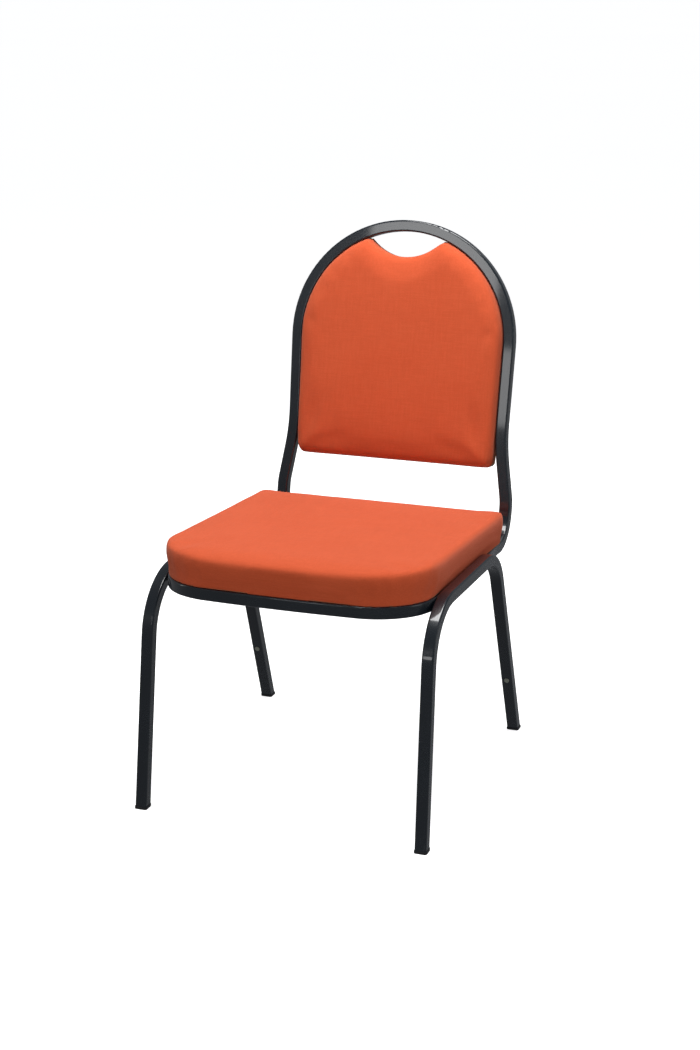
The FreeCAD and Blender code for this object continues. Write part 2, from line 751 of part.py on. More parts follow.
def pad_layer(name, low, thick, inset, edge=None, corner=None):
    """A body with the back pad's outline and hand-hold notch, from a depth in front of the back plane."""
    body = new_body(name)
    outline = back_sketch(body, name + "_outline", low)
    shrink = f"({inset} - pad_gap)"
    bottom = f"(pad_bottom + {shrink})"
    half = Route(outline, [("0", bottom), (inner_side(bottom, inset), bottom)],
                 [corner or f"(pad_corner - {shrink})"],
                 last_arc=("arch_rise", f"(arch_radius - tube_side / 2 - {inset})", 1))
    half.close_on_axis()
    block = pad(body, name + "_half", outline, thick)
    mirror_across(body, [block])
    notch = back_sketch(body, name + "_notch_outline", f"({low}) + ({thick})")
    circle(notch, "0", "notch_centre", f"notch_radius + {shrink}")
    scoop = drill(body, name + "_notch", notch, f"{thick}")
    if edge:
        lean = math.radians(number("lean"))
        round_rim(body, name + "_edge", scoop, FreeCAD.Vector(0, -math.cos(lean), math.sin(lean)), edge)
    return body


def back_drill(body, name, face, places, radius, depth):
    """Round holes cut rearward from a depth in front of the back plane."""
    outline = back_sketch(body, name + "_outline", face)
    for place in places:
        circle(outline, *place, radius)
    drill(body, name, outline, depth)


def back_discs(body, name, low, places, radius, thick):
    """Equal discs standing forward from a depth in front of the back plane."""
    outline = back_sketch(body, name + "_outline", low)
    for place in places:
        circle(outline, *place, radius)
    pad(body, name, outline, thick)


def tab_places():
    """Centres of the four back screws."""
    return [(f"{across} * ({inner_side(height)} - tab_screw)", height)
            for across in (-1, 1) for height in ("tab_low", "tab_high")]


def build_tabs():
    """Steel tabs welded to the inner face of the hoop, for the back board's screws."""
    body = group_body("back_fixing_tabs")
    outline = back_sketch(body, "tab_outline", "-tab_rear")
    for height in ("tab_low", "tab_high"):
        top, bottom = f"({height} + tab_height / 2)", f"({height} - tab_height / 2)"
        inner = f"({inner_side(height)} - tab_length)"
        Route(outline,
              [(inner_side(bottom), bottom), (inner_side(top), top), (inner, top), (inner, bottom)],
              ["0", "0", "tab_corner", "tab_corner"], closed=True)
        circle(outline, f"{inner_side(height)} - tab_screw", height, "back_screw / 2 + hole_gap")
    tabs = pad(body, "tab_pair", outline, "tab_thick")
    mirror_across(body, [tabs])
    return body


def build_back():
    """Back board, foam, cover, screws, clips, rear panel and its cover."""
    edge_inset = "(pad_gap + cloth)"
    screw_places = tab_places()
    board = pad_layer("back_board", "-back_board_rear", "back_board_thick", edge_inset)
    back_drill(board, "clip_bores", "back_board_thick - back_board_rear", CLIPS, "clip_stem / 2 + hole_gap",
               "back_board_thick")
    back_drill(board, "back_screw_bores", "back_board_thick - back_board_rear", screw_places,
               "back_screw / 2 + stem_gap", "back_board_thick")
    foam = pad_layer("back_foam", "back_board_thick - back_board_rear", "back_foam_thick", edge_inset,
                     edge="pad_edge - cloth")
    skin = pad_layer("back_cover_blank", "-cover_rear", "(pad_front + cloth + cover_rear)", "pad_gap",
                     edge="pad_edge")
    filling = pad_layer("back_filling", "-back_board_rear", "back_board_thick", edge_inset)
    mouth = pad_layer("back_hem_mouth", "-(cover_rear + cloth)", "3 * cloth", "(pad_gap + back_hem)",
                      corner="hem_corner")
    cover = cut("back_cover", skin, [filling, foam, mouth])

    panel = pad_layer("back_rear_panel", "-panel_rear", "panel_thick", edge_inset)
    lining_blank = pad_layer("back_lining_blank", "-(panel_rear + cloth)", "panel_thick + cloth", "pad_gap")
    lining = cut("back_rear_cover", lining_blank, [panel])

    screws = group_body("back_screws")
    back_discs(screws, "back_screw_heads", "-(tab_rear + back_head_thick)", screw_places, "back_head / 2",
               "back_head_thick")
    back_discs(screws, "back_screw_shanks", "-tab_rear", screw_places, "back_screw / 2",
               "tab_rear + back_grip")

    clips = group_body("back_panel_clips")
    back_discs(clips, "clip_heads", "-panel_front", CLIPS, "clip_head / 2", "clip_head_thick")
    back_discs(clips, "clip_stems", "-panel_front", CLIPS, "clip_stem / 2",
               "panel_front + clip_grip")
    return [board, foam, cover, panel, lining, screws, clips]


def build_weld_beads(hoop, ring, legs):
    """Fillet welds under the side rails, between each leg tube and the seat ring."""
    rods = []
    for side_name, side in SIDES.items():
        for place, along in {"front": "-front_weld", "rear": "rear_weld"}.items():
            rod = doc.addObject("Part::Cylinder", f"{side_name}_{place}_bead")
            rod.setExpression("Radius", bound("weld_bead"))
            rod.setExpression("Height", bound("weld_length"))
            rod.Placement = FreeCAD.Placement(FreeCAD.Vector(), FreeCAD.Rotation(FreeCAD.Vector(1, 0, 0), 91))
            out = "(weld_bead - weld_sink)"
            rod.setExpression(".Placement.Base.x", bound(f"{side} * (ring_half + tube_side / 2 + {out})"))
            rod.setExpression(".Placement.Base.y", bound(f"{along} + shift"))
            rail = f"(rail_front_z - ({along} + rail_front_y) * rail_run)"
            rod.setExpression(".Placement.Base.z", bound(f"{rail} - tube_side / 2 - {out}"))
            rod.setExpression(".Placement.Rotation.Angle", bound("90 deg - atan(rail_run)"))
            rods.append(rod)
    beads = doc.addObject("Part::MultiFuse", "bead_rods")
    beads.Shapes = rods
    return cut("leg_weld_beads", beads, [hoop, ring, *legs])


def main():
    """Builds every piece, checks the document and writes one file for each piece."""
    hoop, ring = build_back_hoop(), build_seat_ring()
    legs = [build_leg(f"{name}_leg_tube", side) for name, side in SIDES.items()]
    nodes = [hoop, ring, *legs, build_weld_beads(hoop, ring, legs), build_tabs()]
    nodes += [build_cross_bar("front_cross_bar", "front_bar"), build_cross_bar("rear_cross_bar", "rear_bar")]
    for name, side in SIDES.items():
        nodes.append(build_bumper(f"{name}_stacking_bumper", side))
        nodes.append(build_glide(f"{name}_front_glide", side, -1))
        nodes.append(build_glide(f"{name}_rear_glide", side, 1))
    nodes += build_seat() + build_back()
    doc.recompute()
    for item in doc.Objects:
        if "Invalid" in item.State or "Error" in item.State:
            raise SystemExit(f"{item.Name} failed: {item.State}")
    for node in nodes:
        if node.Shape.isNull() or not node.Shape.isValid() or not node.Shape.Solids:
            raise SystemExit(f"{node.Label} has no valid solid")
    for node in nodes:
        node.Shape.exportStep(f"parts/{node.Label}.step")
        print(node.Label, len(node.Shape.Solids), round(node.Shape.Volume))


main()
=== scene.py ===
"""Stacking chair: the finish of a packed steel, plywood and foam model.

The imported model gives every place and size. This script adds what the model keeps plain: the stuffed
seat and back, the fabric over the rear panel, the dust cover with its staples, the rippled weld beads,
and a finish for every piece. Metres, Z up, the chair faces -Y.
"""

import logging
import math
from dataclasses import dataclass, field
from enum import Enum

import bpy
import numpy as np
from mathutils import Matrix, Vector, noise


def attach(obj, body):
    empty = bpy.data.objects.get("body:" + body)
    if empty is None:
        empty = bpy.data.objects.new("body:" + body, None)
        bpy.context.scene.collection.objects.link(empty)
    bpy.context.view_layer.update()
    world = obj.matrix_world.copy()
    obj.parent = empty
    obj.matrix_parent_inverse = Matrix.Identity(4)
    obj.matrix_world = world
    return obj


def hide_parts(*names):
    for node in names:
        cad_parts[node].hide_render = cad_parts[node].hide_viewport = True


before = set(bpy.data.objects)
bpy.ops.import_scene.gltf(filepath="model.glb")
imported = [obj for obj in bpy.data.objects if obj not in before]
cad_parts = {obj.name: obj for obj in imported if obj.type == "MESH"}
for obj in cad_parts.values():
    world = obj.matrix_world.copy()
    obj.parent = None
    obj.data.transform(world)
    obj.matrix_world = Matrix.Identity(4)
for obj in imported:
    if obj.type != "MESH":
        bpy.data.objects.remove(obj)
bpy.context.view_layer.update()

ROOT = "root"
MM = 0.001

log = logging.getLogger("stacking_chair")


# ---------------------------------------------------------------- places
class Facing(Enum):
    """The way the outer face of a flat plate looks."""

    UP = (0.0, 0.0, 1.0)
    FORWARD = (0.0, -1.0, 0.0)


@dataclass(frozen=True)
class Plane:
    """Axes that lie along a tilted plate: X across the chair, Y along the plate, Z out of its face.

    Args:
        tilt: Turn about the chair's X axis, in radians.
    """

    tilt: float

    @classmethod
    def of_plate(cls, node: str, facing: Facing) -> "Plane":
        """Measures the tilt of a flat CAD node.

        Args:
            node: Name of a node that is flat and the same on both sides of the chair.
            facing: Which of its two faces is the outer one.

        Returns:
            The plane along that node.
        """
        points = world_points(node)
        normal = np.linalg.svd(points - points.mean(axis=0), full_matrices=False)[2][2]
        if normal.dot(facing.value) < 0:
            normal = -normal
        return cls(math.atan2(-normal[1], normal[2]))

    @property
    def matrix(self) -> Matrix:
        """The turn from these axes to the chair's."""
        return Matrix.Rotation(self.tilt, 4, "X")

    def box(self, node: str) -> tuple[np.ndarray, np.ndarray]:
        """Lowest and highest corner of a CAD node along these axes."""
        points = world_points(node) @ np.array(self.matrix.to_3x3())
        return points.min(axis=0), points.max(axis=0)


def world_points(node: str) -> np.ndarray:
    """The vertices of a CAD node, one row each, in the chair's axes."""
    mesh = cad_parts[node].data
    flat = np.empty(len(mesh.vertices) * 3)
    mesh.vertices.foreach_get("co", flat)
    return flat.reshape(-1, 3)


def ramp(values: np.ndarray, low: float, high: float) -> np.ndarray:
    """A smooth step from 0 at low to 1 at high, for an array."""
    share = np.clip((values - low) / (high - low), 0.0, 1.0)
    return share * share * (3.0 - 2.0 * share)


# ---------------------------------------------------------------- modelling by operators
class Work:
    """Operator calls on one piece, with the selection made in code."""

    @staticmethod
    def alone(piece: bpy.types.Object) -> None:
        """Selects one piece and makes it active."""
        bpy.ops.object.select_all(action="DESELECT")
        piece.select_set(True)
        bpy.context.view_layer.objects.active = piece

    @classmethod
    def cube(cls, name: str, size: tuple[float, float, float]) -> bpy.types.Object:
        """Adds a box at the origin.

        Args:
            name: Name of the piece.
            size: Its three sizes.

        Returns:
            The piece, its sizes in its mesh.
        """
        bpy.ops.object.select_all(action="DESELECT")
        bpy.ops.mesh.primitive_cube_add(size=1.0)
        return cls.named(name, size)

    @classmethod
    def grid(cls, name: str, size: tuple[float, float], cuts: tuple[int, int]) -> bpy.types.Object:
        """Adds a flat grid at the origin, facing up, with that many squares each way."""
        bpy.ops.object.select_all(action="DESELECT")
        bpy.ops.mesh.primitive_grid_add(x_subdivisions=cuts[0], y_subdivisions=cuts[1], size=1.0)
        return cls.named(name, (*size, 1.0))

    @classmethod
    def ball(cls, name: str, size: tuple[float, float, float], segments: int) -> bpy.types.Object:
        """Adds a ball at the origin, drawn out to three sizes."""
        bpy.ops.object.select_all(action="DESELECT")
        bpy.ops.mesh.primitive_uv_sphere_add(segments=segments, ring_count=segments // 2, radius=0.5)
        return cls.named(name, size)

    @staticmethod
    def named(name: str, size: tuple[float, float, float]) -> bpy.types.Object:
        """Names the new primitive and puts its size in its mesh."""
        piece = bpy.context.object
        piece.name = name
        piece.data.name = name
        piece.scale = size
        bpy.ops.object.transform_apply(location=False, rotation=False, scale=True)
        return piece

    @classmethod
    def copy_of(cls, node: str, plane: Plane, name: str) -> bpy.types.Object:
        """Copies a CAD solid into a new piece along a plane's axes, with its loose triangles merged.

        Args:
            node: The CAD node.
            plane: The axes that the copy is turned to.
            name: Name of the new piece.

        Returns:
            The new piece.
        """
        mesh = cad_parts[node].data.copy()
        mesh.name = name
        mesh.materials.clear()
        mesh.transform(plane.matrix.inverted())
        piece = bpy.data.objects.new(name, mesh)
        bpy.context.scene.collection.objects.link(piece)
        cls.alone(piece)
        bpy.ops.object.mode_set(mode="EDIT")
        bpy.ops.mesh.select_all(action="SELECT")
        bpy.ops.mesh.remove_doubles(threshold=0.02 * MM)
        bpy.ops.mesh.normals_make_consistent(inside=False)
        bpy.ops.object.mode_set(mode="OBJECT")
        return piece

    @staticmethod
    def again(piece: bpy.types.Object) -> bpy.types.Object:
        """Copies a piece, with a mesh of its own."""
        copy = piece.copy()
        copy.data = piece.data.copy()
        bpy.context.scene.collection.objects.link(copy)
        return copy

    @classmethod
    def modify(cls, piece: bpy.types.Object, kind: str, **settings: object) -> None:
        """Adds a modifier with its settings and applies it."""
        cls.alone(piece)
        modifier = piece.modifiers.new(kind.lower(), kind)
        for key, value in settings.items():
            setattr(modifier, key, value)
        bpy.ops.object.modifier_apply(modifier=modifier.name)

    @classmethod
    def edit(cls, piece: bpy.types.Object, mode: str, chosen: np.ndarray, operator: str,
             **settings: object) -> None:
        """Runs one edit-mode operator on chosen elements.

        Args:
            piece: The piece.
            mode: "VERT", "EDGE" or "FACE".
            chosen: One true or false for each vertex, edge or face.
            operator: The operator's group and name, such as "mesh.bevel".
            settings: The operator's own settings.
        """
        cls.alone(piece)
        bpy.ops.object.mode_set(mode="EDIT")
        bpy.ops.mesh.select_mode(type=mode)
        bpy.ops.mesh.select_all(action="DESELECT")
        bpy.ops.object.mode_set(mode="OBJECT")
        mesh = piece.data
        elements = {"VERT": mesh.vertices, "EDGE": mesh.edges, "FACE": mesh.polygons}[mode]
        elements.foreach_set("select", np.asarray(chosen, dtype=bool))
        bpy.ops.object.mode_set(mode="EDIT")
        group, name = operator.split(".")
        getattr(getattr(bpy.ops, group), name)(**settings)
        bpy.ops.object.mode_set(mode="OBJECT")

    @classmethod
    def joined(cls, pieces: list[bpy.types.Object], name: str) -> bpy.types.Object:
        """Joins pieces into the first one and names it."""
        bpy.ops.object.select_all(action="DESELECT")
        for piece in pieces:
            piece.select_set(True)
        bpy.context.view_layer.objects.active = pieces[0]
        bpy.ops.object.join()
        pieces[0].name = name
        pieces[0].data.name = name
        return pieces[0]

    @classmethod
    def smooth(cls, piece: bpy.types.Object, sharp_above: float = 180.0) -> None:
        """Shades a piece smooth, with edges sharper than an angle in degrees left crisp."""
        cls.alone(piece)
        if sharp_above < 180.0:
            bpy.ops.object.shade_smooth_by_angle(angle=math.radians(sharp_above))
        else:
            bpy.ops.object.shade_smooth()


def points_of(piece: bpy.types.Object) -> np.ndarray:
    """The vertices of a piece's mesh, one row each."""
    flat = np.empty(len(piece.data.vertices) * 3)
    piece.data.vertices.foreach_get("co", flat)
    return flat.reshape(-1, 3)


def set_points(piece: bpy.types.Object, points: np.ndarray) -> None:
    """Moves the vertices of a piece's mesh to those rows."""
    piece.data.vertices.foreach_set("co", points.ravel())
    piece.data.update()


def normals_of(piece: bpy.types.Object) -> np.ndarray:
    """The vertex normals of a piece's mesh, one row each."""
    flat = np.empty(len(piece.data.vertices) * 3)
    piece.data.vertex_normals.foreach_get("vector", flat)
    return flat.reshape(-1, 3)


def unevenness(points: np.ndarray, size: float, seed: int) -> np.ndarray:
    """Smooth random heights from about -1 to 1.

    Args:
        points: One row a point.
        size: Distance over which the heights change.
        seed: Shifts the pattern.

    Returns:
        One height a point.
    """
    shift = Vector((seed * 3.1, seed * 1.7, seed * 2.3))
    return np.array([noise.noise(Vector(point) / size + shift) for point in points])


# ---------------------------------------------------------------- shader maths
class Wire:
    """A value output of a node, with the arithmetic that the finishes use."""

    def __init__(self, tree: bpy.types.NodeTree, socket: bpy.types.NodeSocket) -> None:
        """Wraps a socket of a tree."""
        self.tree = tree
        self.socket = socket

    def math(self, operation: str, *values: object) -> "Wire":
        """Adds a Math node on this and up to two other values, in that order."""
        node = self.tree.nodes.new("ShaderNodeMath")
        node.operation = operation
        for place, value in zip(node.inputs, values):
            if isinstance(value, Wire):
                self.tree.links.new(value.socket, place)
            else:
                place.default_value = value
        return Wire(self.tree, node.outputs[0])

    def __add__(self, other: object) -> "Wire":
        """This plus another."""
        return self.math("ADD", self, other)

    def __sub__(self, other: object) -> "Wire":
        """This less another."""
        return self.math("SUBTRACT", self, other)

    def __rsub__(self, other: object) -> "Wire":
        """Another less this."""
        return self.math("SUBTRACT", other, self)

    def __mul__(self, other: object) -> "Wire":
        """This times another."""
        return self.math("MULTIPLY", self, other)

    __radd__ = __add__
    __rmul__ = __mul__

    def __pow__(self, other: object) -> "Wire":
        """This to a power."""
        return self.math("POWER", self, other)

    def size(self) -> "Wire":
        """This without its sign."""
        return self.math("ABSOLUTE", self)

    def wave(self, period: float) -> "Wire":
        """A sine of this, with a period in its own unit."""
        return self.math("SINE", self * (2.0 * math.pi / period))

    def step(self, low: float, high: float) -> "Wire":
        """A smooth step from 0 at low to 1 at high."""
        node = self.tree.nodes.new("ShaderNodeMapRange")
        node.interpolation_type = "SMOOTHSTEP"
        self.tree.links.new(self.socket, node.inputs["Value"])
        node.inputs["From Min"].default_value = low
        node.inputs["From Max"].default_value = high
        return Wire(self.tree, node.outputs[0])


Colour = tuple[float, float, float]


class Finish:
    """A material in the making: its node tree and its main shader."""

    def __init__(self, name: str, **constants: object) -> None:
        """Starts a material.

        Args:
            name: Name of the material.
            constants: Values set directly on sockets of the main shader, with _ for a space.
        """
        self.material = bpy.data.materials.new(name)
        self.material.use_nodes = True
        self.tree = self.material.node_tree
        self.shader = self.tree.nodes["Principled BSDF"]
        for key, value in constants.items():
            place = self.shader.inputs[key.replace("_", " ")]
            place.default_value = (*value, 1.0) if isinstance(value, tuple) else value

    def add(self, kind: str, settings: dict[str, object] | None = None,
            sockets: dict[object, object] | None = None, output: object = 0) -> Wire:
        """Adds any node.

        Args:
            kind: The node's type, without the ShaderNode in front.
            settings: Its settings, set first.
            sockets: Values or links of its sockets, by name or number.
            output: Which output to give back.

        Returns:
            That output.
        """
        node = self.tree.nodes.new("ShaderNode" + kind)
        for key, value in (settings or {}).items():
            setattr(node, key, value)
        for key, value in (sockets or {}).items():
            if isinstance(value, Wire):
                self.tree.links.new(value.socket, node.inputs[key])
            else:
                node.inputs[key].default_value = value
        return Wire(self.tree, node.outputs[output])

    def place(self, plane: Plane | None = None, stretch: Colour = (1.0, 1.0, 1.0)) -> Wire:
        """Object coordinates, turned to a plane's axes and stretched."""
        tilt = plane.tilt if plane else 0.0
        point = self.add("TexCoord", output="Object")
        turned = self.add("Mapping", sockets={"Vector": point, "Rotation": (-tilt, 0.0, 0.0)})
        return self.add("Mapping", sockets={"Vector": turned, "Scale": stretch})

    def axes(self, vector: Wire) -> list[Wire]:
        """The three parts of a vector."""
        node = self.tree.nodes.new("ShaderNodeSeparateXYZ")
        self.tree.links.new(vector.socket, node.inputs[0])
        return [Wire(self.tree, output) for output in node.outputs]

    def cloud(self, where: Wire, size: float, detail: float = 2.0) -> Wire:
        """Noise from 0 to 1 whose blotches are about that size."""
        return self.add("TexNoise", sockets={"Vector": where, "Scale": 1.0 / size, "Detail": detail})

    def blend(self, share: object, low: object, high: object) -> Wire:
        """A colour between two colours."""
        colours = [(*value, 1.0) if isinstance(value, tuple) else value for value in (low, high)]
        return self.add("Mix", {"data_type": "RGBA", "clamp_factor": True},
                        {0: share, 6: colours[0], 7: colours[1]}, output=2)

    def feed(self, **links: Wire) -> "Finish":
        """Links outputs to sockets of the main shader, with _ for a space."""
        for key, value in links.items():
            self.tree.links.new(value.socket, self.shader.inputs[key.replace("_", " ")])
        return self

    def bump(self, height: Wire, depth: float) -> "Finish":
        """Feeds heights from 0 to 1 to the normal, as relief of that depth in metres."""
        relief = self.add("Bump", sockets={"Strength": 1.0, "Distance": depth, "Height": height})
        return self.feed(Normal=relief)

    def on(self, piece: bpy.types.Object) -> None:
        """Puts the material on a piece in place of any other."""
        if piece.material_slots:
            for slot in piece.material_slots:
                slot.material = self.material
        else:
            piece.data.materials.append(self.material)


@dataclass(frozen=True)
class Enamel:
    """Glossy stoved enamel on steel: a deep blue-black with a faint orange-peel skin and floor scuffs."""

    deep: Colour = (0.0060, 0.0092, 0.0130)
    light: Colour = (0.0110, 0.0160, 0.0220)
    scuffed: Colour = (0.045, 0.047, 0.050)
    peel: float = 2.4 * MM
    peel_depth: float = 0.012 * MM
    scuff_height: float = 45.0 * MM

    def make(self) -> Finish:
        """Builds the material."""
        finish = Finish("blue_black_enamel", Coat_Weight=0.85, Coat_Roughness=0.045, Coat_IOR=1.5, IOR=1.45,
                        Specular_IOR_Level=0.35)
        where = finish.place()
        body = finish.cloud(where, 60.0 * MM)
        streaks = finish.cloud(finish.place(stretch=(1.0, 1.0, 0.06)), 1.6 * MM, 4.0)
        low = 1.0 - finish.axes(where)[2].step(0.0, self.scuff_height)
        scuffs = low * streaks.step(0.60, 0.72) * 0.75
        fine = finish.cloud(where, 0.5 * MM, 3.0)
        colour = finish.blend(scuffs, finish.blend(body, self.deep, self.light), self.scuffed)
        peel = finish.cloud(where, self.peel, 1.0)
        return finish.feed(Base_Color=colour, Roughness=0.20 + fine * 0.08 + body * 0.05 + scuffs * 0.35) \
            .bump(peel + fine * 0.15, self.peel_depth)


@dataclass(frozen=True)
class WovenCloth:
    """Plain-weave upholstery cloth, dyed orange, its yarns along a plane's axes, with painted shade in the
    weave's valleys.

    Args:
        name: Name of the material.
        plane: The axes that warp and weft follow.
    """

    name: str
    plane: Plane
    yarn: float = 0.9 * MM
    relief: float = 0.16 * MM
    # The dark end of the weave's colour: painted shade in the valleys between the yarns.
    valley_shade: Colour = (0.40, 0.052, 0.016)
    crown: Colour = (0.80, 0.128, 0.044)
    faded: Colour = (0.86, 0.165, 0.068)

    def make(self) -> Finish:
        """Builds the material."""
        finish = Finish(self.name, Roughness=0.92, Specular_IOR_Level=0.18, Sheen_Weight=0.26,
                        Sheen_Roughness=0.45, Sheen_Tint=(1.0, 0.60, 0.46))
        where = finish.place(self.plane)
        wobble = finish.cloud(where, 9.0 * MM, 1.0) * (0.5 * self.yarn)
        across, along, out = [part + wobble for part in finish.axes(where)]
        normal = finish.add("TexCoord", output="Normal")
        turned = finish.add("VectorRotate", {"rotation_type": "X_AXIS"},
                            {"Vector": normal, "Angle": -self.plane.tilt})
        side, end, top = [part.size() ** 4.0 for part in finish.axes(turned)]
        period = 2.0 * self.yarn
        rows = [part.wave(period) for part in (across, along, out)]
        weave = rows[0] * rows[1] * top + rows[0] * rows[2] * end + rows[1] * rows[2] * side
        weft = finish.cloud(finish.place(self.plane, (0.05, 1.0, 1.0)), self.yarn, 2.0)
        warp = finish.cloud(finish.place(self.plane, (1.0, 0.05, 1.0)), self.yarn, 2.0)
        hairs = finish.cloud(where, 0.35 * MM, 2.0)
        yarns = 0.5 + weave * 0.38 + (weft - 0.5) * 0.24 + (warp - 0.5) * 0.24
        # Painted shade: the colour is darker where the weave's relief is low, so the valleys between yarns
        # carry painted shade; the random weft, warp and hair tones are the cloth's own.
        colour = finish.blend(yarns * 0.7 + hairs * 0.3, self.valley_shade, self.crown)
        slubs = finish.cloud(finish.place(self.plane, (0.06, 1.0, 1.0)), 2.2 * MM, 2.0) \
            + finish.cloud(finish.place(self.plane, (1.0, 0.06, 1.0)), 2.2 * MM, 2.0)
        worn = finish.cloud(where, 90.0 * MM, 2.0) * 0.16 + (slubs - 0.8).step(0.0, 0.5) * 0.13
        colour = finish.blend(worn, colour, self.faded)
        return finish.feed(Base_Color=colour).bump(yarns * 0.8 + hairs * 0.25, self.relief)


@dataclass(frozen=True)
class FeltedCloth:
    """Black spun-bonded dust cloth: matt fibres pressed together in a pattern of small points."""

    point: float = 1.7 * MM
    relief: float = 0.09 * MM

    def make(self) -> Finish:
        """Builds the material."""
        finish = Finish("spun_dust_cloth", Specular_IOR_Level=0.2)
        where = finish.place()
        across, along, _ = finish.axes(where)
        points = (across.wave(self.point) * along.wave(self.point)).step(0.35, 0.85)
        fibres = finish.cloud(where, 0.6 * MM, 5.0)
        colour = finish.blend(fibres, (0.008, 0.008, 0.009), (0.030, 0.030, 0.032))
        return finish.feed(Base_Color=colour, Roughness=0.95 - points * 0.35) \
            .bump(fibres * 0.5 + (1.0 - points) * 0.5, self.relief)


@dataclass(frozen=True)
class Moulded:
    """Moulded plastic or rubber with a fine spark-eroded grain.

    Args:
        name: Name of the material.
        dark: Its darker tone.
        light: Its lighter tone.
        roughness: Its mean roughness.
    """

    name: str
    dark: Colour
    light: Colour
    roughness: float

    def make(self) -> Finish:
        """Builds the material."""
        finish = Finish(self.name, IOR=1.49)
        where = finish.place()
        grain = finish.cloud(where, 0.5 * MM, 3.0)
        patches = finish.cloud(where, 7.0 * MM, 3.0)
        rubbed = 1.0 - finish.axes(where)[2].step(0.0, 3.0 * MM)
        tone = patches * 0.7 + grain * 0.3
        return finish.feed(Base_Color=finish.blend(tone, self.dark, self.light),
                           Roughness=self.roughness + grain * 0.12 + rubbed * 0.15) \
            .bump(grain, 0.03 * MM)


@dataclass(frozen=True)
class ZincPlate:
    """Bright zinc plating with fine cloudy passivation."""

    def make(self) -> Finish:
        """Builds the material."""
        finish = Finish("zinc_plate", Metallic=1.0)
        where = finish.place()
        cloud = finish.cloud(where, 4.0 * MM, 4.0)
        grit = finish.cloud(where, 0.3 * MM, 2.0)
        colour = finish.blend(cloud, (0.46, 0.46, 0.43), (0.66, 0.66, 0.62))
        return finish.feed(Base_Color=colour, Roughness=0.28 + cloud * 0.18).bump(grit, 0.01 * MM)


@dataclass(frozen=True)
class Plywood:
    """Raw birch plywood: veneer grain on the faces and glue lines round the edge.

    Args:
        plane: The axes of the board.
    """

    plane: Plane
    veneer: float = 1.5 * MM

    def make(self) -> Finish:
        """Builds the material."""
        finish = Finish("raw_plywood", Roughness=0.75)
        out = finish.axes(finish.place(self.plane))[2]
        layers = out.wave(2.0 * self.veneer).step(-0.2, 0.4)
        grain = finish.cloud(finish.place(self.plane, (1.0, 0.04, 1.0)), 1.1 * MM, 5.0)
        wood = finish.blend(grain, (0.36, 0.22, 0.11), (0.62, 0.45, 0.27))
        colour = finish.blend(layers * 0.4, wood, (0.30, 0.17, 0.085))
        return finish.feed(Base_Color=colour).bump(grain, 0.08 * MM)


@dataclass(frozen=True)
class Foam:
    """Open-cell cushion foam, pale yellow with fine pores, darker in their pits as painted shade."""

    def make(self) -> Finish:
        """Builds the material."""
        finish = Finish("cushion_foam", Roughness=1.0, Specular_IOR_Level=0.1)
        where = finish.place()
        pores = finish.add("TexVoronoi", {"feature": "F1"}, {"Vector": where, "Scale": 1.0 / (1.1 * MM)},
                           output="Distance")
        # Painted shade: the pits of the pores, low in the bump, are coloured darker.
        colour = finish.blend(pores, (0.50, 0.42, 0.22), (0.78, 0.70, 0.45))
        return finish.feed(Base_Color=colour).bump(pores, 0.4 * MM)


def settle(piece: bpy.types.Object, finish: Finish, slot: str, *stands_for: str) -> None:
    """Puts a finish on a new piece, parents it to the root body and hides the CAD nodes that it replaces.

    Args:
        piece: The piece.
        finish: Its finish.
        slot: Not used.
        stands_for: The CAD nodes that it replaces, if any.
    """
    finish.on(piece)
    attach(piece, ROOT)
    if stands_for:
        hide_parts(*stands_for)


# ---------------------------------------------------------------- stuffed pieces
FABRIC = {
    "quality": 6,
    "mass": 0.25,
    "tension_stiffness": 20.0,
    "compression_stiffness": 20.0,
    "shear_stiffness": 8.0,
    "bending_stiffness": 3.0,
    "use_pressure": True,
}


